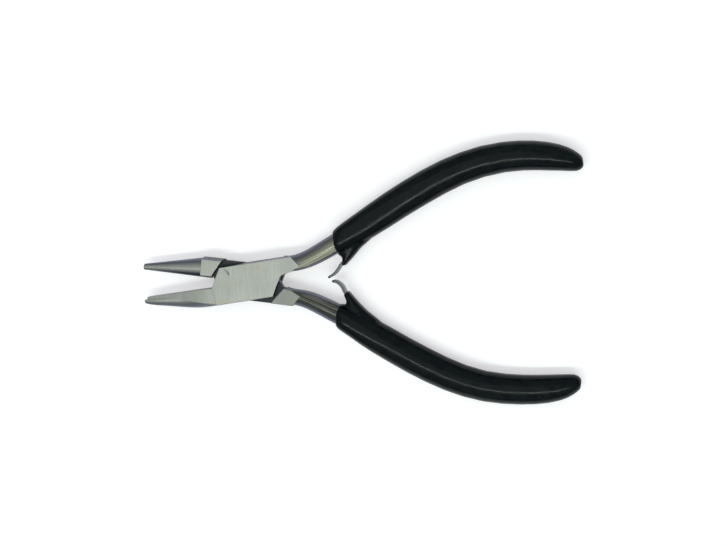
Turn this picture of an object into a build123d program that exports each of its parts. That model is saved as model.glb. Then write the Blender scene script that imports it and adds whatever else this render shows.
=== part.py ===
from build123d import *
import math
import os

# Box-joint pliers with one flat jaw and one round jaw, a pair of leaf springs and dipped grips.
# All sizes are in millimetres.  The origin is on the pivot axis, at the underside of the joint.
# +X runs towards the handles, +Y towards the handle of the flat-jaw half, +Z up out of the joint.
#
# Each half is drawn in its own closed frame, with its jaw below the X axis and its handle above.
# The flat-jaw half is then turned open.  The round-jaw half is flipped over the X axis first.

# ---- driving dimensions -------------------------------------------------------------------
JOINT_THICKNESS = 7.0
MID = JOINT_THICKNESS / 2
HALF_OPENING = 7.5            # turn of each half between closed and rest, degrees

JOINT_HALF_WIDTH = 5.65       # at mid-height, where the sides bulge
JOINT_FLAT_HALF_WIDTH = 5.3   # at the ground flats
TONGUE_HALF_WIDTH = 5.5
TONGUE_THICKNESS = 2.5
SLOT_CLEARANCE = 0.08         # above and below the tongue
PIN_RADIUS = 2.0
PIN_CLEARANCE = 0.03

GRIP_OFFSET = -0.4            # the closed jaws meet on a line this far from the pivot
FLAT_GRIP_SLOPE = -0.0148
ROUND_GRIP_SLOPE = -0.0079
JAW_TIP_X = -32.2
ROUND_TIP_RADIUS = 0.88
ROUND_BASE_RADIUS = 2.98
SHOULDER_X = -14.0            # where the round jaw meets its squared shoulder
THROAT_X = -10.44             # where the gripping face meets the front edge of the box
GRIP_STOCK = 0.8              # metal ground off the flat jaw's gripping face
LIP_SETBACK = 1.0             # the gripping lip ends short of the jaw's back
LIP_DEPTH = 0.65              # from the X axis to the bottom of the step behind the lip
TIP_ROUNDING = 0.35
THROAT_TOP = (-8.79, 3.0)     # on the line of the box's front edge, clear above the jaw

HANDLE_LEAN = 0.0105          # the handles' spread differs a little from half to half
HANDLE_REACH = 0.010
HANDLE_BEND_X = 84.0          # beyond this the lean turns back, this much faster
HANDLE_TURN_BACK = 3.2

SPRING_THICKNESS = 0.5
SPRING_WIDTH = 3.8
GRIP_BEND_X = 34.0            # where the blade leaves the grip
RIVET_RADIUS = 0.9
RIVET_X = 46.0
SLEEVE_HALF_HEIGHT = 4.2
WEB_HALF_HEIGHT = 2.4
ROOT_POCKET = 0.7             # room between the spring root and the tang
FIT_GAP = 0.12                # between the moving web and the still grip

# Plan of the joint plate, anticlockwise from the throat, in the closed frame.
REAR_EDGE = [(14.0, JOINT_HALF_WIDTH), (16.4, 2.3), (13.4, 0.93), (11.9, 0.75)]
FREE_REAR_EDGE = [(10.4, 0.35), (9.5, -1.1), (8.3, -3.2), (6.95, -5.65)]
FREE_FRONT_EDGE = [(-7.1, 5.65), (-9.3, 2.0), (-10.5, -0.35)]

# Slot through the box, wide enough for the tongue at every opening.
SLOT_OUTLINE = [
    (-14.0, 7.0), (-14.0, 0.6), (-10.9, 0.6), (-10.68, 0.21), (-9.48, -2.1), (-7.35, -5.7),
    (-7.2, -7.0), (12.0, -7.0), (12.0, -0.6), (10.7, -0.3), (9.75, 1.2), (8.55, 3.3),
    (7.4, 5.3), (7.2, 7.0),
]

# Shank and tang: x, inner side, start of flat, end of flat, outer side, half height.
TANG_STATIONS = [
    (12.0, 0.75, 1.3, 2.6, 5.75, 3.3),
    (16.0, 0.8, 1.5, 2.5, 5.7, 3.2),
    (20.0, 1.35, 2.1, 3.1, 6.9, 3.1),
    (24.0, 2.5, 3.3, 4.3, 8.5, 3.0),
    (28.0, 3.9, 4.7, 5.8, 10.1, 2.9),
    (34.0, 6.3, 7.1, 8.6, 12.6, 2.8),
    (40.0, 8.9, 9.7, 11.5, 15.6, 2.8),
    (48.0, 12.4, 13.2, 15.1, 19.2, 2.8),
    (56.0, 15.5, 16.3, 18.2, 22.2, 2.8),
    (64.0, 18.2, 19.0, 20.8, 24.4, 2.7),
    (72.0, 20.0, 20.7, 22.4, 25.7, 2.6),
    (80.0, 20.4, 21.1, 22.7, 25.6, 2.6),
    (88.0, 19.7, 20.3, 21.7, 24.3, 2.4),
    (94.0, 19.2, 19.6, 20.7, 22.1, 1.9),
]

# Grip sleeve: x, centre line, width across, share of the full half height.
SLEEVE_STATIONS = [
    (27.4, 7.15, 6.5, 0.82),
    (28.6, 7.5, 7.6, 0.94),
    (31.0, 8.5, 8.1, 0.99),
    (36.0, 10.6, 9.1, 1.0),
    (42.0, 13.2, 9.75, 1.0),
    (50.0, 16.6, 9.8, 1.0),
    (58.0, 19.6, 9.6, 1.0),
    (66.0, 21.9, 9.05, 1.0),
    (74.0, 23.05, 8.7, 1.0),
    (82.0, 22.9, 8.5, 1.0),
    (89.0, 21.9, 8.3, 0.98),
    (93.0, 21.0, 7.85, 0.93),
    (96.5, 19.9, 6.85, 0.82),
    (98.5, 19.1, 5.6, 0.66),
    (99.7, 18.75, 3.9, 0.46),
    (100.4, 18.6, 2.0, 0.24),
]

# Spring blades, from the grip to the tip, in each half's closed frame.
FLAT_BLADE = [(33.7, 4.45), (31.2, 2.95), (28.4, 1.0), (25.8, -1.5), (23.8, -2.4)]
ROUND_BLADE = [(33.6, 3.75), (31.5, 2.2), (29.15, 0.0), (27.8, -1.85), (26.1, -2.95), (24.8, -2.85)]
SPRING_ROOT = [(36.4, 6.85), (46.0, 11.05), (54.0, 14.25)]

# Web of grip coating between the sleeve and the blade.
WEB_OUTLINE = [
    (27.9, 3.9), (28.2, 3.2), (28.8, 2.7), (29.0, 2.2), (28.4, 1.1), (29.3, 0.5),
    (32.5, 2.9), (34.3, 4.3), (37.5, 6.2), (37.5, 9.0), (27.6, 7.0),
]


def plate(outline, bottom, top):
    """A flat plate of the given plan between two heights."""
    face = make_face(Polyline(*outline, close=True))
    return Pos(0, 0, bottom) * extrude(face, top - bottom, dir=(0, 0, 1))


def side(x, y_flat, y_bulge, z_from, z_to):
    """One side of a bar section: straight, or an arc that bulges to y_bulge."""
    start = (x, y_flat, z_from)
    end = (x, y_flat, z_to)
    if abs(y_flat - y_bulge) < 0.01:
        return Line(start, end)
    return ThreePointArc(start, (x, y_bulge, MID), end)


def bar_section(x, near, flat_near, flat_far, far, half_height):
    """Section across X with flats above and below, and sides that may bulge."""
    top = MID + half_height
    bottom = MID - half_height
    edges = [
        Line((x, flat_near, top), (x, flat_far, top)),
        side(x, flat_far, far, top, bottom),
        Line((x, flat_far, bottom), (x, flat_near, bottom)),
        side(x, flat_near, near, bottom, top),
    ]
    return make_face(Wire(edges))


def bar(stations):
    """A solid through bar sections."""
    return loft([bar_section(*station) for station in stations])


def barrel(x_from, x_to, near, flat_near, flat_far, far):
    """A straight bar of full joint thickness, used to round a plate's sides."""
    return bar([
        (x_from, near, flat_near, flat_far, far, MID),
        (x_to, near, flat_near, flat_far, far, MID),
    ])


def grip_line(x, slope):
    """Height of the line on which the closed jaws meet."""
    return GRIP_OFFSET + slope * x


def lean(y, x, sign):
    """Spread of the handle at x: one half's handle leans out, the other's in, and both ends turn back."""
    past_bend = max(x - HANDLE_BEND_X, 0.0)
    return y + sign * HANDLE_LEAN * (x - past_bend * HANDLE_TURN_BACK)


def reach(x, sign):
    """Distance along the handle, stretched a little on one half."""
    return x * (1 + sign * HANDLE_REACH) if x > GRIP_BEND_X else x


def tang(sign):
    """Shank and tang in one bar, from the joint to near the end of the grip."""
    stations = []
    for x, *sides, half_height in TANG_STATIONS:
        moved = [lean(y, x, sign) for y in sides]
        stations.append((reach(x, sign), *moved, half_height))
    return bar(stations)


def rear_block(front_edge):
    """Full-thickness end of the joint plate that carries the shank."""
    outline = REAR_EDGE + front_edge
    rounding = barrel(
        5.0, 18.0, -JOINT_HALF_WIDTH, -JOINT_FLAT_HALF_WIDTH, JOINT_FLAT_HALF_WIDTH, JOINT_HALF_WIDTH
    )
    return plate(outline, 0, JOINT_THICKNESS) & rounding


def flat_jaw():
    """Jaw with a flat gripping face and a rounded back, narrowing to a stepped tip."""
    slope = FLAT_GRIP_SLOPE
    stations = [
        (-8.5, -5.3, -5.6, 3.36),
        (-13.0, -4.4, -5.65, 3.38),
        (-17.5, -3.2, -5.27, 2.95),
        (-23.0, -1.55, -4.15, 2.25),
        (-27.5, -0.85, -3.2, 1.7),
        (JAW_TIP_X, -0.5, -1.9, 1.1),
    ]
    sections = []
    for x, flat_far, far, half_height in stations:
        above = grip_line(x, slope) + GRIP_STOCK
        sections.append(bar_section(x, above, above, flat_far, far, half_height))
    ahead_x = JAW_TIP_X - 8.0
    lip_x = JAW_TIP_X + LIP_SETBACK
    removed = [
        (ahead_x, -LIP_DEPTH), (ahead_x, THROAT_TOP[1]), THROAT_TOP, (THROAT_X, grip_line(THROAT_X, slope)),
        (lip_x, grip_line(lip_x, slope)), (lip_x, -LIP_DEPTH),
    ]
    jaw = loft(sections) - plate(removed, -1.0, JOINT_THICKNESS + 1.0)
    tip_edges = [edge for edge in jaw.edges().filter_by(Axis.Z) if edge.center().X < lip_x + 0.1]
    outer_edges = [edge for edge in tip_edges if edge.center().Y > -LIP_DEPTH + 0.05 or edge.center().X < lip_x - 0.1]
    return fillet(outer_edges, TIP_ROUNDING)


def round_jaw():
    """Smooth cone that widens into a squared shoulder."""
    slope = ROUND_GRIP_SLOPE
    base_y = -grip_line(SHOULDER_X, slope) - ROUND_BASE_RADIUS
    tip_y = -grip_line(JAW_TIP_X, slope) - ROUND_TIP_RADIUS
    base_plane = Plane(origin=(SHOULDER_X + 0.5, base_y, MID), z_dir=(1, 0, 0))
    tip_plane = Plane(origin=(JAW_TIP_X, tip_y, MID), z_dir=(1, 0, 0))
    cone = loft([base_plane * Circle(ROUND_BASE_RADIUS), tip_plane * Circle(ROUND_TIP_RADIUS)])
    cone = fillet(cone.edges().sort_by(Axis.X)[0], TIP_ROUNDING)
    outline = [
        (SHOULDER_X, 0.45), (SHOULDER_X, -5.85), (-7.7, -5.85), (-10.8, -0.4), (-11.3, 0.45),
    ]
    rounding = barrel(-15.0, -7.0, -5.85, -5.2, -0.5, 0.27)
    return cone + (plate(outline, 0, JOINT_THICKNESS) & rounding)


def pin_hole(clearance):
    return Pos(0, 0, MID) * Cylinder(PIN_RADIUS + clearance, JOINT_THICKNESS * 2)


def flat_jaw_half():
    """Flat jaw, slotted box and handle."""
    outline = REAR_EDGE + FREE_REAR_EDGE + [(-10.0, -5.65)] + FREE_FRONT_EDGE[::-1]
    rounding = barrel(
        -12.0, 18.0, -JOINT_HALF_WIDTH, -JOINT_FLAT_HALF_WIDTH, JOINT_FLAT_HALF_WIDTH, JOINT_HALF_WIDTH
    )
    block = plate(outline, 0, JOINT_THICKNESS) & rounding
    half = block + flat_jaw() + tang(1)
    slot_bottom = MID - TONGUE_THICKNESS / 2 - SLOT_CLEARANCE
    slot_top = MID + TONGUE_THICKNESS / 2 + SLOT_CLEARANCE
    return half - plate(SLOT_OUTLINE, slot_bottom, slot_top) - pin_hole(PIN_CLEARANCE)


def round_jaw_half():
    """Round jaw, tongue and handle, drawn with the jaw below the X axis."""
    tongue_outline = [
        (14.0, TONGUE_HALF_WIDTH), (15.0, 2.3), (13.4, 1.2), (11.9, 0.75), (10.4, 0.35), (9.5, -1.1),
        (8.3, -3.2), (7.0, -TONGUE_HALF_WIDTH), (-12.0, -TONGUE_HALF_WIDTH), (-12.0, -0.6),
        (-10.5, -0.3), (-9.3, 2.0), (-7.2, TONGUE_HALF_WIDTH),
    ]
    tongue = plate(tongue_outline, MID - TONGUE_THICKNESS / 2, MID + TONGUE_THICKNESS / 2)
    rear = rear_block([(11.3, 0.6), (7.65, JOINT_HALF_WIDTH)])
    half = tongue + round_jaw() + rear + tang(-1)
    return half - pin_hole(PIN_CLEARANCE)


def strip_plate(points, half_width, room_above=0.0):
    """A flat strip drawn as a closed outline round its centre line, with room towards the tang."""
    left = []
    right = []
    for index, (x, y) in enumerate(points):
        before = points[max(index - 1, 0)]
        after = points[min(index + 1, len(points) - 1)]
        dx = after[0] - before[0]
        dy = after[1] - before[1]
        length = math.hypot(dx, dy)
        nx = -dy / length
        ny = dx / length
        below = SPRING_THICKNESS / 2
        above = below + room_above
        left.append((x + nx * above, y + ny * above))
        right.append((x - nx * below, y - ny * below))
    return plate(left + right[::-1], MID - half_width, MID + half_width)


def moved_points(points, sign):
    """Points of a strip under the grip, following the handle's own lean."""
    return [(reach(x, sign), lean(y, x, sign)) for x, y in points]


def rivet(sign):
    """Flush rivet across the tang, through the spring's root."""
    x = reach(RIVET_X, sign)
    y = lean(11.05, RIVET_X, sign)
    slope = math.degrees(math.atan2(14.25 - 6.85, 54.0 - 36.4))
    length = 4.0
    across = Rot(0, 0, slope) * Rot(-90, 0, 0) * Cylinder(RIVET_RADIUS, length)
    centre = length / 2 - SPRING_THICKNESS / 2
    dx = -math.sin(math.radians(slope)) * centre
    dy = math.cos(math.radians(slope)) * centre
    return Pos(x + dx, y + dy, MID) * across


def sleeve_body(sign, margin):
    """Outer form of the grip, grown by a margin."""
    sections = []
    for x, centre, width, share in SLEEVE_STATIONS:
        plane = Plane(origin=(reach(x, sign), lean(centre, x, sign), MID), x_dir=(0, 1, 0), z_dir=(1, 0, 0))
        sections.append(plane * Ellipse(width / 2 + margin, SLEEVE_HALF_HEIGHT * share + margin))
    return loft(sections)


def build_half(sign, steel, blade_points):
    """All pieces of one half in the closed frame, by role."""
    root_points = moved_points(SPRING_ROOT, sign)
    root = strip_plate(root_points, SPRING_WIDTH / 2)
    root_pocket = strip_plate(root_points, SPRING_WIDTH / 2, ROOT_POCKET)
    pin = rivet(sign)
    blade = strip_plate(blade_points, SPRING_WIDTH / 2)
    sleeve = sleeve_body(sign, 0) - tang(sign) - root_pocket
    web = plate(WEB_OUTLINE, MID - WEB_HALF_HEIGHT, MID + WEB_HALF_HEIGHT)
    web = web - sleeve_body(sign, FIT_GAP) - blade - steel
    return {
        "steel": steel - pin,
        "spring_root": root - pin,
        "spring_blade": blade,
        "spring_rivet": pin,
        "grip_sleeve": sleeve,
        "spring_web": web,
    }


def largest(shape):
    """The main solid of a shape, without slivers."""
    return max(shape.solids(), key=lambda solid: solid.volume)


os.makedirs("parts", exist_ok=True)
HALVES = {
    "flat_half": (1, flat_jaw_half(), FLAT_BLADE),
    "round_half": (-1, round_jaw_half(), ROUND_BLADE),
}
NODE_NAMES = {
    "steel": {"flat_half": "flat_jaw_half", "round_half": "round_jaw_half"},
}
for half_name, (sign, steel, blade_points) in HALVES.items():
    for role, shape in build_half(sign, steel, blade_points).items():
        node = NODE_NAMES.get(role, {}).get(half_name, half_name + "_" + role)
        solid = largest(shape)
        if sign < 0:
            solid = mirror(solid, about=Plane.XZ)
        export_step(Rot(0, 0, sign * HALF_OPENING) * solid, "parts/" + node + ".step")

pin = Pos(0, 0, MID) * Cylinder(PIN_RADIUS, JOINT_THICKNESS)
export_step(pin, "parts/pivot_pin.step")
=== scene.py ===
import math

import bmesh
import bpy
import numpy as np
from mathutils import Matrix, Vector, noise


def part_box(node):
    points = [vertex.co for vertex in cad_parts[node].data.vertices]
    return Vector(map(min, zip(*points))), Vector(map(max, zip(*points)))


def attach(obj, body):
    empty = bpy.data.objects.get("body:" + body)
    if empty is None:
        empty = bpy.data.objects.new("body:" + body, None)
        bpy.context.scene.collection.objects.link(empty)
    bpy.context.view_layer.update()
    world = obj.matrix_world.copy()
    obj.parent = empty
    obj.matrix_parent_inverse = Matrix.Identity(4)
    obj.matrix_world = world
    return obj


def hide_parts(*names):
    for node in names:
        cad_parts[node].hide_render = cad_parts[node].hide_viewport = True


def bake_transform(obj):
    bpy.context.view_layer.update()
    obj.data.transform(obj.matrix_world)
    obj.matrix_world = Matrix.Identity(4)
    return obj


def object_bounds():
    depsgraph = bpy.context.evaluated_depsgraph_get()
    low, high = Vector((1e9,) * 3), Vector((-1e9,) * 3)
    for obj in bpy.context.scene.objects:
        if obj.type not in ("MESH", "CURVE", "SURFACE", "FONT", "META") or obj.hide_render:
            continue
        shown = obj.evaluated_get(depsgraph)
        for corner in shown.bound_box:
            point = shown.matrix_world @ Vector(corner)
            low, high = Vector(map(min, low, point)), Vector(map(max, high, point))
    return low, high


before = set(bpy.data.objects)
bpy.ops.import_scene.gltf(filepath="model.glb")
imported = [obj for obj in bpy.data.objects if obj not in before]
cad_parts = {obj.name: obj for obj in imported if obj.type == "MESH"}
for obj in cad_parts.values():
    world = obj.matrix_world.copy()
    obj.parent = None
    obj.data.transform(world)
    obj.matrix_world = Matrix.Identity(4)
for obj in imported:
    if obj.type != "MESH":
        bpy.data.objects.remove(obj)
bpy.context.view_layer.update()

# Small pliers with a flat jaw and a round jaw.  The steel halves, the rivets and the spring roots
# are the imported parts.  The dipped grips, with the webs that run out along the springs, the spring
# blades and the flush pivot pin are made here.
#
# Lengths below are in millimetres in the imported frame, and MM turns them into metres.

MM = 0.001

# ---- sizes ---------------------------------------------------------------------------------
MID = 3.5                      # mid-plane of the pliers
HALF_OPENING = 7.5             # turn of each half between closed and rest, degrees
FLAT, ROUND = 1, -1            # the flat-jaw half's handle lies towards +Y, the other's towards -Y

# Grip skins
RING_POINTS = 40
# Where along its length each packed sleeve is measured, closer together near both ends.
SLEEVE_SHARES = [0.001, 0.006, 0.016, 0.035, 0.06, 0.1, 0.15, 0.22, 0.3, 0.38, 0.46, 0.54, 0.62, 0.7,
                 0.77, 0.83, 0.88, 0.92, 0.95, 0.97, 0.984, 0.993, 0.998]
SKIN_VOXEL = 0.24
SKIN_SMOOTHING = 26            # passes
SKIN_GROWTH = 0.13             # makes up for what the smoothing takes off
SWELL_DEPTH = 0.022
SWELL_BROAD = 0.2              # swells per millimetre
SWELL_FINE = 0.65
SWELL_FINE_SHARE = 0.15        # depth of the fine swells, as a share of the broad ones

# Webs.  Their edges in plan run from inside the sleeve out to the blade: the front edge, then the back one.
WEB_ROOT_HALF_HEIGHT = 3.0
WEB_TIP_HALF_HEIGHT = 2.15
WEB_SQUARENESS = 2.15
FLAT_WEB = (
    [(27.6, 12.0), (26.5, 9.6), (26.25, 8.1), (27.2, 7.25), (28.1, 6.7), (28.3, 6.0), (28.2, 5.2), (27.85, 4.45)],
    [(44.0, 18.2), (40.0, 14.9), (36.6, 11.7), (33.7, 9.3), (31.9, 7.2), (30.6, 5.8), (29.6, 4.8), (29.0, 4.15)],
)
ROUND_WEB = (
    [(28.6, -12.0), (27.3, -9.7), (27.2, -8.2), (28.4, -7.4),
     (29.1, -6.8), (29.05, -6.0), (28.6, -5.0), (28.35, -4.2)],
    [(45.0, -17.6), (41.0, -14.4), (37.6, -11.3), (35.0, -9.2),
     (33.0, -7.2), (31.4, -5.3), (30.3, -4.0), (29.75, -3.3)],
)

# Spring blades, with their centre lines in each half's own frame, from the hidden root to the tip
FLAT_BLADE = [(31.3, 3.05), (30.2, 2.3), (28.4, 1.0), (27.2, -0.3), (25.8, -1.55), (23.8, -2.4)]
ROUND_BLADE = [(31.6, 2.2), (30.6, 1.3), (29.15, 0.0), (27.9, -1.85), (26.2, -2.95), (24.8, -2.9)]
BLADE_THICKNESS = 0.72
BLADE_HALF_WIDTH = 1.9
BLADE_CORNER = 0.15
BLADE_CORNER_POINTS = 4
PATH_STEPS = 8                 # between two given points of a centre line
TIP_NARROWING = (0.45, 0.9)    # share of the width lost, over this length
TIP_THINNING = (0.5, 0.35)     # share of the thickness lost, over this length

# Pin
PIN_SPREAD = 0.26
PIN_SPREAD_DEPTH = 0.2
PIN_PROUD = 0.003
PIN_POINTS = 96

# Dents on the joint's upper flat, each between two places in plan
JOINT_NICKS = [((-6.3, 3.9), (-5.1, 2.2)), ((-5.4, 3.5), (-5.1, 2.2))]

# Set
FLOOR_HALF = 1500.0
FLOOR_GAP = 0.02               # below the lowest point of the pliers
FLOOR_COLOUR = (0.86, 0.88, 0.9, 1)
FLOOR_GLOW_COLOUR = (1.0, 0.96, 0.98, 1)
FLOOR_GLOW = 0.42
HORIZON_COLOUR = (0.15, 0.17, 0.22, 1)
SKY_COLOUR = (0.45, 0.467, 0.477, 1)
HORIZON_HEIGHT = 0.05          # upward part of the view direction where the horizon's colour ends
SKY_HEIGHT = 0.45              # and where the sky's begins

# Colours, as linear red, green and blue
GROUND_DARK = (0.305, 0.316, 0.297)
GROUND_LIGHT = (0.38, 0.392, 0.367)
GROUND_CLOUD = (0.275, 0.286, 0.272)
STAIN = (0.345, 0.3, 0.205)
# Darker colour of the flats behind the pivot
REAR_DARKER = (0.19, 0.198, 0.185)
NICK = (0.05, 0.05, 0.045)
# Painted reflection and shade of the steel's side walls, darker and bluish
SIDE_WALL_PAINTED_REFLECTION = (0.12, 0.13, 0.16)
# Painted highlight along the steel's edges, partly edge wear
EDGE_WEAR_AND_HIGHLIGHT = (0.45, 0.47, 0.45)
# Painted shade in the joint's sunk faces, near black
RECESS_PAINTED_SHADE = (0.035, 0.037, 0.042)
STRIP_DARK = (0.115, 0.13, 0.155)
STRIP_LIGHT = (0.2, 0.215, 0.24)
STRIP_SHEARED = (0.07, 0.07, 0.07)
# Painted highlight along the strip's edges, partly edge wear
STRIP_EDGE_WEAR_AND_HIGHLIGHT = (0.4, 0.41, 0.41)
VINYL_DARK = (0.0016, 0.0036, 0.0052)
VINYL_LIGHT = (0.0046, 0.0084, 0.0088)
VINYL_MARK = (0.2, 0.21, 0.2)

# ---- camera --------------------------------------------------------------------------------
IMAGE_WIDTH = 728
LOOK_AT = (34.37, 1.83)        # where the view's centre meets the mid-plane
VIEW_DISTANCE = 450.0
TILT_X = 9.9                   # the camera stands off towards the handles, degrees
TILT_Y = 4.1                   # and off towards the flat-jaw half's handle
ROLL = 1.75
MM_PER_PIXEL = 0.29
SENSOR = 36.0


def make_camera():
    """Camera looking down at the pliers, a little from the handles' side."""
    towards = Vector((math.tan(math.radians(TILT_X)), math.tan(math.radians(TILT_Y)), 1.0))
    towards = towards.normalized()
    target = Vector((LOOK_AT[0], LOOK_AT[1], MID))
    data = bpy.data.cameras.new("camera")
    data.sensor_width = SENSOR
    data.lens = SENSOR * VIEW_DISTANCE / MM_PER_PIXEL / IMAGE_WIDTH
    data.clip_start = 0.01
    data.clip_end = 10.0
    camera = bpy.data.objects.new("camera", data)
    right = (-towards).cross(Vector((0, 1, 0))).normalized()
    up = right.cross(-towards)
    turn = math.radians(-ROLL)
    right_rolled = right * math.cos(turn) + up * math.sin(turn)
    up_rolled = up * math.cos(turn) - right * math.sin(turn)
    basis = Matrix((right_rolled, up_rolled, towards)).transposed().to_4x4()
    camera.matrix_world = Matrix.Translation((target + towards * VIEW_DISTANCE) * MM) @ basis
    bpy.context.scene.collection.objects.link(camera)
    bpy.context.scene.camera = camera


def area_light(name, place, aim, size, radiance, colour):
    """A soft rectangular light of an even radiance."""
    data = bpy.data.lights.new(name, "AREA")
    data.shape = "RECTANGLE"
    data.size = size[0] * MM
    data.size_y = size[1] * MM
    data.energy = radiance * math.pi * data.size * data.size_y
    data.color = colour
    light = bpy.data.objects.new(name, data)
    start = Vector(place) * MM
    direction = Vector(aim) * MM - start
    turn = direction.to_track_quat("-Z", "Y").to_matrix().to_4x4()
    light.matrix_world = Matrix.Translation(start) @ turn
    bpy.context.scene.collection.objects.link(light)


def make_lights():
    """A broad soft light overhead, and a narrow bright one beside it."""
    area_light("overhead", place=(-70, -20, 620), aim=(20, 0, 0), size=(820, 430),
               radiance=0.62, colour=(0.95, 1.0, 0.93))
    area_light("strip", place=(60, -215, 600), aim=(60, 0, 0), size=(760, 45),
               radiance=12.0, colour=(0.93, 1.0, 0.9))


def make_surroundings():
    """A soft dim room: bluish and dark near the horizon, lighter above."""
    world = bpy.data.worlds.new("studio")
    bpy.context.scene.world = world
    world.use_nodes = True
    tree = world.node_tree
    background = tree.nodes["Background"]
    place = tree.nodes.new("ShaderNodeTexCoord")
    height = tree.nodes.new("ShaderNodeSeparateXYZ")
    tree.links.new(place.outputs["Generated"], height.inputs["Vector"])
    fade = tree.nodes.new("ShaderNodeMapRange")
    fade.interpolation_type = "SMOOTHSTEP"
    fade.inputs["From Min"].default_value = HORIZON_HEIGHT
    fade.inputs["From Max"].default_value = SKY_HEIGHT
    tree.links.new(height.outputs["Z"], fade.inputs["Value"])
    colour = tree.nodes.new("ShaderNodeMix")
    colour.data_type = "RGBA"
    colour.inputs["A"].default_value = HORIZON_COLOUR
    colour.inputs["B"].default_value = SKY_COLOUR
    tree.links.new(fade.outputs["Result"], colour.inputs["Factor"])
    tree.links.new(colour.outputs["Result"], background.inputs["Color"])
    background.inputs["Strength"].default_value = 1.0


def make_floor():
    """Plain pale floor just under the grips."""
    floor_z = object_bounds()[0][2] - FLOOR_GAP * MM
    half = FLOOR_HALF * MM
    mesh = bpy.data.meshes.new("floor")
    corners = [(x, y, floor_z) for x, y in ((-half, -half), (half, -half), (half, half), (-half, half))]
    mesh.from_pydata(corners, [], [(0, 1, 2, 3)])
    floor = bpy.data.objects.new("floor", mesh)
    material = bpy.data.materials.new("floor")
    material.use_nodes = True
    shader = material.node_tree.nodes["Principled BSDF"]
    shader.inputs["Base Color"].default_value = FLOOR_COLOUR
    shader.inputs["Roughness"].default_value = 0.9
    shader.inputs["Emission Color"].default_value = FLOOR_GLOW_COLOUR
    shader.inputs["Emission Strength"].default_value = FLOOR_GLOW
    mesh.materials.append(material)
    bpy.context.scene.collection.objects.link(floor)


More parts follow.
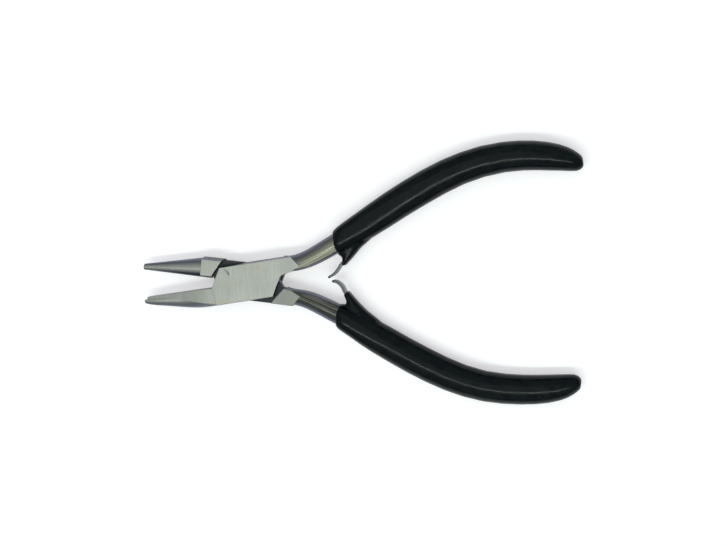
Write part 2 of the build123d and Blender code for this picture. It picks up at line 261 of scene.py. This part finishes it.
# ---- materials -----------------------------------------------------------------------------
class Nodes:
    """Short names for building one material's nodes."""

    def __init__(self, name):
        self.material = bpy.data.materials.new(name)
        self.material.use_nodes = True
        self.tree = self.material.node_tree
        self.shader = self.tree.nodes["Principled BSDF"]
        self.place = self.new("ShaderNodeTexCoord").outputs["Object"]
        self.normal = self.new("ShaderNodeNewGeometry").outputs["Normal"]

    def new(self, kind, **settings):
        node = self.tree.nodes.new(kind)
        for name, value in settings.items():
            setattr(node, name, value)
        return node

    def feed(self, socket, value):
        """Link an output to a socket, or set the socket's own value."""
        if isinstance(value, bpy.types.NodeSocket):
            self.tree.links.new(value, socket)
        else:
            socket.default_value = value

    def stretched(self, scale, turn=0.0):
        """Object coordinates turned about Z and scaled, as features per millimetre along each axis."""
        turned = self.new("ShaderNodeMapping", vector_type="TEXTURE")
        turned.inputs["Rotation"].default_value = (0, 0, math.radians(turn))
        self.feed(turned.inputs["Vector"], self.place)
        scaled = self.new("ShaderNodeMapping")
        scaled.inputs["Scale"].default_value = [each / MM for each in scale]
        self.feed(scaled.inputs["Vector"], turned.outputs["Vector"])
        return scaled.outputs["Vector"]

    def noise(self, scale, turn=0.0, detail=3.0, roughness=0.55):
        node = self.new("ShaderNodeTexNoise")
        node.inputs["Scale"].default_value = 1.0
        node.inputs["Detail"].default_value = detail
        node.inputs["Roughness"].default_value = roughness
        self.feed(node.inputs["Vector"], self.stretched(scale, turn))
        return node.outputs["Fac"]

    def ramp(self, value, low, high, to_low=0.0, to_high=1.0):
        """Value taken smoothly from low..high to to_low..to_high."""
        node = self.new("ShaderNodeMapRange", interpolation_type="SMOOTHSTEP")
        for name, each in (("Value", value), ("From Min", low), ("From Max", high),
                           ("To Min", to_low), ("To Max", to_high)):
            self.feed(node.inputs[name], each)
        return node.outputs["Result"]

    def math(self, operation, first, second=0.0):
        node = self.new("ShaderNodeMath", operation=operation)
        self.feed(node.inputs[0], first)
        self.feed(node.inputs[1], second)
        return node.outputs["Value"]

    def part(self, vector, axis):
        node = self.new("ShaderNodeSeparateXYZ")
        self.feed(node.inputs["Vector"], vector)
        return node.outputs[axis]

    def mix(self, share, first, second):
        """Colour mixed from first to second."""
        node = self.new("ShaderNodeMix", data_type="RGBA")
        self.feed(node.inputs["Factor"], share)
        for name, colour in (("A", first), ("B", second)):
            linked = isinstance(colour, bpy.types.NodeSocket)
            self.feed(node.inputs[name], colour if linked else (*colour, 1))
        return node.outputs["Result"]

    def distance_to(self, start, end):
        """Distance in plan from the line between two places, in millimetres."""
        start = Vector((*start, 0)) * MM
        line = Vector((*end, 0)) * MM - start
        flat = self.new("ShaderNodeVectorMath", operation="MULTIPLY")
        self.feed(flat.inputs[0], self.place)
        flat.inputs[1].default_value = (1, 1, 0)
        offset = self.new("ShaderNodeVectorMath", operation="SUBTRACT")
        self.feed(offset.inputs[0], flat.outputs["Vector"])
        offset.inputs[1].default_value = start
        dot = self.new("ShaderNodeVectorMath", operation="DOT_PRODUCT")
        self.feed(dot.inputs[0], offset.outputs["Vector"])
        dot.inputs[1].default_value = line / line.length_squared
        share = self.new("ShaderNodeClamp")
        self.feed(share.inputs["Value"], dot.outputs["Value"])
        nearest = self.new("ShaderNodeVectorMath", operation="SCALE")
        nearest.inputs[0].default_value = line
        self.feed(nearest.inputs["Scale"], share.outputs["Result"])
        away = self.new("ShaderNodeVectorMath", operation="DISTANCE")
        self.feed(away.inputs[0], offset.outputs["Vector"])
        self.feed(away.inputs[1], nearest.outputs["Vector"])
        return self.math("MULTIPLY", away.outputs["Value"], 1 / MM)

    def bump(self, height, distance, strength=1.0, normal=None):
        node = self.new("ShaderNodeBump")
        node.inputs["Strength"].default_value = strength
        node.inputs["Distance"].default_value = distance * MM
        self.feed(node.inputs["Height"], height)
        if normal is not None:
            self.feed(node.inputs["Normal"], normal)
        return node.outputs["Normal"]

    def cross_ground(self):
        """Colour of the cross-ground flats with faint stains, then its grain, fine grain and clouding."""
        grain = self.noise((7.0, 0.16, 0.16))
        fine_grain = self.noise((16.0, 0.5, 0.5), detail=1.0)
        cloud = self.noise((0.16, 0.1, 0.16), detail=4.0)
        stain = self.ramp(self.noise((0.22, 0.3, 0.22), detail=5.0, roughness=0.65), 0.52, 0.7)
        colour = self.mix(self.ramp(grain, 0.3, 0.7), GROUND_DARK, GROUND_LIGHT)
        colour = self.mix(self.ramp(cloud, 0.35, 0.7, 0.0, 0.4), colour, GROUND_CLOUD)
        colour = self.mix(self.math("MULTIPLY", stain, 0.55), colour, STAIN)
        return colour, grain, fine_grain, cloud

    def finish_ground(self, colour, grain, fine_grain, cloud, normal=None):
        """Shader of a ground steel surface, with its grain in relief."""
        self.feed(self.shader.inputs["Base Color"], colour)
        self.shader.inputs["Metallic"].default_value = 1.0
        rough = self.ramp(self.math("ADD", fine_grain, cloud), 0.7, 1.3, 0.34, 0.46)
        self.feed(self.shader.inputs["Roughness"], rough)
        relief = self.math("ADD", grain, self.math("MULTIPLY", fine_grain, 0.35))
        self.feed(self.shader.inputs["Normal"], self.bump(relief, 0.012, 0.6, normal))
        return self.material

    def soft_edges(self, radius):
        """Normal rounded over near the edges, and how near an edge is, from 0 to 1."""
        bevel = self.new("ShaderNodeBevel", samples=6)
        bevel.inputs["Radius"].default_value = radius * MM
        dot = self.new("ShaderNodeVectorMath", operation="DOT_PRODUCT")
        self.feed(dot.inputs[0], bevel.outputs["Normal"])
        self.feed(dot.inputs[1], self.normal)
        return bevel.outputs["Normal"], self.ramp(dot.outputs["Value"], 1.0, 0.86)


def joint_flat(name):
    """Pin ends peened over and ground with the joint, so that they hardly show."""
    n = Nodes(name)
    colour, grain, fine_grain, cloud = n.cross_ground()
    return n.finish_ground(colour, grain, fine_grain, cloud)


def ground_steel(name, shank_turn, shank_light, shank_dark, rear_darkening, nicks=()):
    """Tool steel: cross-ground flats, shanks polished along their length, and side walls in a darker bluish
    colour that is a painted reflection of the dim bluish surroundings.

    The faces sunk below the joint's flats get painted shade, a near-black colour.  Behind the pivot the flats are
    mixed towards a darker colour, by the share given for the rear.  Each nick is a short dark dent between two
    places.
    """
    n = Nodes(name)
    along = n.part(n.place, "X")
    upright = n.math("ABSOLUTE", n.part(n.normal, "Z"))
    on_wall = n.ramp(upright, 0.97, 0.68)
    depth = n.math("ABSOLUTE", n.math("SUBTRACT", n.part(n.place, "Z"), MID * MM))
    behind_joint = n.ramp(along, 12.2 * MM, 12.8 * MM)
    on_shank = n.math("MULTIPLY", behind_joint, n.ramp(depth, 3.47 * MM, 3.38 * MM))
    in_joint = n.ramp(n.math("ABSOLUTE", along), 13.0 * MM, 11.5 * MM)
    sunk = n.math("MULTIPLY", in_joint, n.ramp(depth, 2.7 * MM, 1.9 * MM))

    colour, cross_grain, fine_grain, cloud = n.cross_ground()
    long_grain = n.noise((0.1, 5.0, 2.2), turn=shank_turn)
    grain = n.math("ADD", n.math("MULTIPLY", cross_grain, n.math("SUBTRACT", 1.0, on_shank)),
                   n.math("MULTIPLY", long_grain, on_shank))
    soft_normal, near_edge = n.soft_edges(0.16)
    # Flats behind the pivot are mixed towards a darker colour.
    behind = n.ramp(along, 4.0 * MM, 7.0 * MM, 0.0, rear_darkening)
    colour = n.mix(behind, colour, REAR_DARKER)
    for start, end in nicks:
        colour = n.mix(n.ramp(n.distance_to(start, end), 0.16, 0.03), colour, NICK)
    shank_colour = n.mix(n.ramp(long_grain, 0.38, 0.62), shank_dark, shank_light)
    colour = n.mix(on_shank, colour, shank_colour)
    # Side walls and rounded sides: painted reflection and shade, a darker bluish colour in place of the dim
    # bluish surroundings they would reflect.
    colour = n.mix(on_wall, colour, SIDE_WALL_PAINTED_REFLECTION)
    # Painted highlight near the edges, partly standing for edge wear.
    colour = n.mix(n.math("MULTIPLY", near_edge, 0.3), colour, EDGE_WEAR_AND_HIGHLIGHT)
    # Sunk faces in the joint: painted shade, near black.
    colour = n.mix(sunk, colour, RECESS_PAINTED_SHADE)
    return n.finish_ground(colour, grain, fine_grain, cloud, soft_normal)


def rolled_steel(name, turn):
    """Bright rolled strip, streaked along its length, with duller sheared edges."""
    n = Nodes(name)
    streak = n.noise((0.35, 6.0, 1.4), turn=turn)
    speck = n.noise((3.2, 3.2, 3.2), detail=4.0)
    sheared = n.ramp(n.math("ABSOLUTE", n.part(n.normal, "Z")), 0.4, 0.8)
    soft_normal, near_edge = n.soft_edges(0.07)
    colour = n.mix(n.ramp(streak, 0.3, 0.7), STRIP_DARK, STRIP_LIGHT)
    dull = n.math("MULTIPLY", sheared, n.ramp(speck, 0.4, 0.62, 0.2, 0.75))
    colour = n.mix(dull, colour, STRIP_SHEARED)
    # Painted highlight near the strip's edges, partly standing for edge wear.
    colour = n.mix(n.math("MULTIPLY", near_edge, 0.4), colour, STRIP_EDGE_WEAR_AND_HIGHLIGHT)
    n.feed(n.shader.inputs["Base Color"], colour)
    n.shader.inputs["Metallic"].default_value = 1.0
    n.feed(n.shader.inputs["Roughness"], n.ramp(speck, 0.3, 0.7, 0.28, 0.48))
    n.feed(n.shader.inputs["Normal"], n.bump(speck, 0.02, 0.6, soft_normal))
    return n.material


def dipped_vinyl(name, turn):
    """Glossy black-green dipped vinyl: soft undulation, faint haze, dust specks and a few pale scuffs."""
    n = Nodes(name)
    swell = n.noise((0.12, 0.3, 0.3), turn=turn, detail=1.0)
    haze = n.noise((0.3, 0.5, 0.5), turn=turn, detail=5.0, roughness=0.6)
    skin = n.noise((3.0, 3.0, 3.0), detail=3.0)
    drawn = n.noise((0.06, 1.6, 1.6), turn=turn, detail=3.0)
    specks = n.ramp(n.noise((2.2, 2.2, 2.2), detail=2.0), 0.74, 0.8)
    scuffs = n.ramp(n.noise((0.55, 2.6, 2.6), turn=turn + 25, detail=3.0, roughness=0.7), 0.71, 0.76)
    marks = n.math("MAXIMUM", n.math("MULTIPLY", specks, 0.6), scuffs)
    colour = n.mix(n.ramp(haze, 0.35, 0.7), VINYL_DARK, VINYL_LIGHT)
    colour = n.mix(n.math("MULTIPLY", marks, 0.55), colour, VINYL_MARK)
    n.feed(n.shader.inputs["Base Color"], colour)
    n.shader.inputs["Specular IOR Level"].default_value = 0.13
    hazy = n.math("ADD", n.math("MULTIPLY", haze, 0.6), n.math("MULTIPLY", drawn, 0.4))
    rough = n.math("ADD", n.ramp(hazy, 0.35, 0.65, 0.11, 0.25), n.math("MULTIPLY", marks, 0.25))
    n.feed(n.shader.inputs["Roughness"], rough)
    broad = n.bump(swell, 0.12, 0.5)
    n.feed(n.shader.inputs["Normal"], n.bump(skin, 0.01, 0.35, broad))
    return n.material


def dress(obj, material):
    """Give an object one material."""
    obj.data.materials.clear()
    obj.data.materials.append(material)


# ---- shapes --------------------------------------------------------------------------------
class Half:
    """One half's own closed frame: along its handle, and outward from the middle of the pliers."""

    def __init__(self, sign):
        cos = math.cos(math.radians(HALF_OPENING))
        sin = math.sin(math.radians(HALF_OPENING))
        self.sign = sign
        self.along = Vector((cos, sign * sin, 0))
        self.outward = Vector((-sin, sign * cos, 0))

    def point(self, x, y, z=MID):
        """A place in the half's frame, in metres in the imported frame."""
        return (self.along * x + self.outward * y + Vector((0, 0, z))) * MM


def vertex_array(node):
    """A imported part's vertices, as rows."""
    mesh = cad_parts[node].data
    flat = np.empty(len(mesh.vertices) * 3)
    mesh.vertices.foreach_get("co", flat)
    return flat.reshape(-1, 3)


def section(node, origin, normal):
    """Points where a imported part's edges cross a plane."""
    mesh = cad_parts[node].data
    ends = np.empty(len(mesh.edges) * 2, dtype=int)
    mesh.edges.foreach_get("vertices", ends)
    places = vertex_array(node)
    height = (places - np.array(origin)) @ np.array(normal)
    first, second = ends.reshape(-1, 2).T
    crossing = height[first] * height[second] < 0
    first = first[crossing]
    second = second[crossing]
    share = (height[first] / (height[first] - height[second]))[:, None]
    return places[first] * (1 - share) + places[second] * share


def extent(points, axis):
    """Lowest and highest place of points along an axis, in millimetres."""
    values = points @ np.array(axis) / MM
    return values.min(), values.max()


def smooth_step(value, low, high):
    """0 at low and below, 1 at high and above, and smooth between."""
    share = min(max((value - low) / (high - low), 0.0), 1.0)
    return share * share * (3 - 2 * share)


def rounded(value, power):
    """Signed power of a cosine or sine, for rings between an ellipse and a box."""
    return math.copysign(abs(value) ** (2.0 / power), value)


def add_rings(shape, rings):
    """A closed skin through rings of points, capped at both ends."""
    rows = [[shape.verts.new(point) for point in ring] for ring in rings]
    count = len(rows[0])
    for row, following in zip(rows, rows[1:]):
        for i in range(count):
            j = (i + 1) % count
            shape.faces.new((row[i], row[j], following[j], following[i]))
    shape.faces.new(rows[0][::-1])
    shape.faces.new(rows[-1])


def solid_through(name, *ring_sets):
    """An object made of closed skins, one through each set of rings."""
    shape = bmesh.new()
    for rings in ring_sets:
        add_rings(shape, rings)
    bmesh.ops.recalc_face_normals(shape, faces=shape.faces[:])
    mesh = bpy.data.meshes.new(name)
    shape.to_mesh(mesh)
    shape.free()
    solid = bpy.data.objects.new(name, mesh)
    bpy.context.scene.collection.objects.link(solid)
    return solid


def shade_smooth(mesh):
    for polygon in mesh.polygons:
        polygon.use_smooth = True


def web_rings(front, back):
    """Rings that fan out from the sleeve to the blade, each between a front and a back point."""
    rings = []
    taper = WEB_TIP_HALF_HEIGHT - WEB_ROOT_HALF_HEIGHT
    for index, (near, far) in enumerate(zip(front, back)):
        share = index / (len(front) - 1)
        half_height = WEB_ROOT_HALF_HEIGHT + taper * share ** 0.7
        middle = (Vector(near) + Vector(far)) / 2
        reach = (Vector(far) - Vector(near)) / 2
        ring = []
        for i in range(RING_POINTS):
            angle = 2 * math.pi * i / RING_POINTS
            place = middle + reach * rounded(math.cos(angle), WEB_SQUARENESS)
            height = half_height * rounded(math.sin(angle), WEB_SQUARENESS)
            ring.append(Vector((place.x, place.y, MID + height)) * MM)
        rings.append(ring)
    return rings


def sleeve_rings(half, node, squareness):
    """Rings of the grip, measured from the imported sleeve."""
    start, end = extent(vertex_array(node), half.along)
    length = end - start
    rings = []
    for share in SLEEVE_SHARES:
        x = start + length * share
        cut = section(node, half.point(x, 0), half.along)
        low, high = extent(cut, half.outward)
        bottom, top = extent(cut, Vector((0, 0, 1)))
        power = squareness(share)
        ring = []
        for i in range(RING_POINTS):
            angle = 2 * math.pi * i / RING_POINTS
            y = (low + high) / 2 + (high - low) / 2 * rounded(math.cos(angle), power)
            z = MID + (top - bottom) / 2 * rounded(math.sin(angle), power)
            ring.append(half.point(x, y, z))
        rings.append(ring)
    return rings


def settled(obj):
    """Replace an object's mesh by its result after modifiers."""
    graph = bpy.context.evaluated_depsgraph_get()
    mesh = bpy.data.meshes.new_from_object(obj.evaluated_get(graph))
    obj.modifiers.clear()
    obj.data = mesh


def swell(mesh):
    """Push a skin's surface in and out a little, as dipped vinyl sets."""
    places = [vertex.co.copy() for vertex in mesh.vertices]
    directions = [vertex.normal.copy() for vertex in mesh.vertices]
    moved = np.empty((len(places), 3))
    for i, (place, direction) in enumerate(zip(places, directions)):
        wave = noise.noise(place * SWELL_BROAD / MM) * SWELL_DEPTH
        wave += noise.noise(place * SWELL_FINE / MM) * SWELL_DEPTH * SWELL_FINE_SHARE
        moved[i] = place + direction * (SKIN_GROWTH + wave) * MM
    mesh.vertices.foreach_set("co", moved.ravel())
    mesh.update()


def grip_skin(name, half, node, web_edges, squareness):
    """One dipped skin: the sleeve and the web that runs out to the spring blade."""
    skin = solid_through(name, sleeve_rings(half, node, squareness), web_rings(*web_edges))
    merge = skin.modifiers.new("merge", "REMESH")
    merge.mode = "VOXEL"
    merge.voxel_size = SKIN_VOXEL * MM
    soften = skin.modifiers.new("soften", "SMOOTH")
    soften.factor = 0.5
    soften.iterations = SKIN_SMOOTHING
    settled(skin)
    swell(skin.data)
    shade_smooth(skin.data)
    return skin


def smooth_path(points):
    """Points along a smooth line through the given ones (a Catmull-Rom curve)."""
    ends = [points[0]] + points + [points[-1]]
    path = []
    for a, b, c, d in zip(ends, ends[1:], ends[2:], ends[3:]):
        for i in range(PATH_STEPS):
            t = i / PATH_STEPS
            place = [0.5 * (2 * q + (r - p) * t + (2 * p - 5 * q + 4 * r - s) * t * t
                            + (3 * q - p - 3 * r + s) * t ** 3) for p, q, r, s in zip(a, b, c, d)]
            path.append(Vector(place))
    path.append(Vector(points[-1]))
    return path


def spring_blade(name, half, points):
    """A thin strip on edge, with rounded corners and a tip that narrows a little."""
    path = smooth_path(points)
    across = BLADE_HALF_WIDTH - BLADE_CORNER
    through = BLADE_THICKNESS / 2 - BLADE_CORNER
    rim = []
    for corner, (side, level) in enumerate([(1, 1), (-1, 1), (-1, -1), (1, -1)]):
        for i in range(BLADE_CORNER_POINTS):
            angle = math.pi / 2 * (corner + i / (BLADE_CORNER_POINTS - 1))
            rim.append((side * through + BLADE_CORNER * math.cos(angle),
                        level * across + BLADE_CORNER * math.sin(angle)))
    rings = []
    for index, place in enumerate(path):
        before = path[max(index - 1, 0)]
        after = path[min(index + 1, len(path) - 1)]
        direction = (after - before).normalized()
        sideways = Vector((-direction.y, direction.x))
        to_tip = (path[-1] - place).length
        narrow = 1.0 - TIP_NARROWING[0] * (1.0 - smooth_step(to_tip, 0.0, TIP_NARROWING[1])) ** 2
        thin = 1.0 - TIP_THINNING[0] * (1.0 - smooth_step(to_tip, 0.0, TIP_THINNING[1]))
        ring = []
        for offset, height in rim:
            flat = place + sideways * offset * thin
            ring.append(half.point(flat.x, flat.y, MID + height * narrow))
        rings.append(ring)
    blade = solid_through(name, rings)
    shade_smooth(blade.data)
    return blade


def make_pin(material):
    """Pivot pin, its ends spread to fill the hole's countersinks and ground flush."""
    bottom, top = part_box("pivot_pin")
    radius = (top.x - bottom.x) / 2 / MM
    low, high = bottom.z / MM, top.z / MM
    spread = radius + PIN_SPREAD
    profile = [
        (low - PIN_PROUD, spread),
        (low + PIN_SPREAD_DEPTH, radius),
        ((low + high) / 2, radius),
        (high - PIN_SPREAD_DEPTH, radius),
        (high + PIN_PROUD, spread),
    ]
    angles = [2 * math.pi * i / PIN_POINTS for i in range(PIN_POINTS)]
    rings = [[Vector((size * math.cos(a), size * math.sin(a), z)) * MM for a in angles] for z, size in profile]
    pin = solid_through("flush_pin", rings)
    dress(pin, material)
    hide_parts("pivot_pin")
    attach(pin, "pivot")


def flat_squareness(share):
    """Flat-topped at the front, round at the end."""
    return 2.6 - 0.55 * smooth_step(share, 0.06, 0.4)


def round_squareness(share):
    """A soft crest along the middle, rounder at the end."""
    return 2.4 - 0.5 * smooth_step(share, 0.05, 0.25) + 0.15 * smooth_step(share, 0.6, 0.85)


def make_half(name, sign, web_edges, blade_points, squareness):
    """Grip skin and spring blade of one half."""
    half = Half(sign)
    turn = 17.0 * sign
    skin = grip_skin(name + "_grip", half, name + "_grip_sleeve", web_edges, squareness)
    dress(skin, dipped_vinyl(name + "_vinyl", turn))
    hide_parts(name + "_grip_sleeve", name + "_spring_web")
    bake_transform(skin)

    blade = spring_blade(name + "_blade", half, blade_points)
    dress(blade, rolled_steel(name + "_blade_steel", 40.0 * sign))
    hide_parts(name + "_spring_blade")
    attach(blade, name.replace("half", "spring"))


make_camera()
make_lights()
make_surroundings()
bpy.context.scene.view_settings.view_transform = "Standard"
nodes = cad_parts
flat_steel = ground_steel(
    "flat_half_steel", shank_turn=25.0, shank_light=(0.28, 0.28, 0.225), shank_dark=(0.15, 0.155, 0.13),
    rear_darkening=0.0, nicks=JOINT_NICKS,
)
round_steel = ground_steel(
    "round_half_steel", shank_turn=-25.0, shank_light=(0.1, 0.102, 0.09), shank_dark=(0.028, 0.028, 0.025),
    rear_darkening=0.85,
)
dress(nodes["flat_jaw_half"], flat_steel)
dress(nodes["round_jaw_half"], round_steel)
flush = joint_flat("flush_pin_steel")
strip = rolled_steel("root_steel", 0.0)
dress(nodes["pivot_pin"], flush)
make_pin(flush)
for name in ("flat_half", "round_half"):
    dress(nodes[name + "_spring_rivet"], flush)
    dress(nodes[name + "_spring_root"], strip)
make_half("flat_half", FLAT, FLAT_WEB, FLAT_BLADE, flat_squareness)
make_half("round_half", ROUND, ROUND_WEB, ROUND_BLADE, round_squareness)

make_floor()
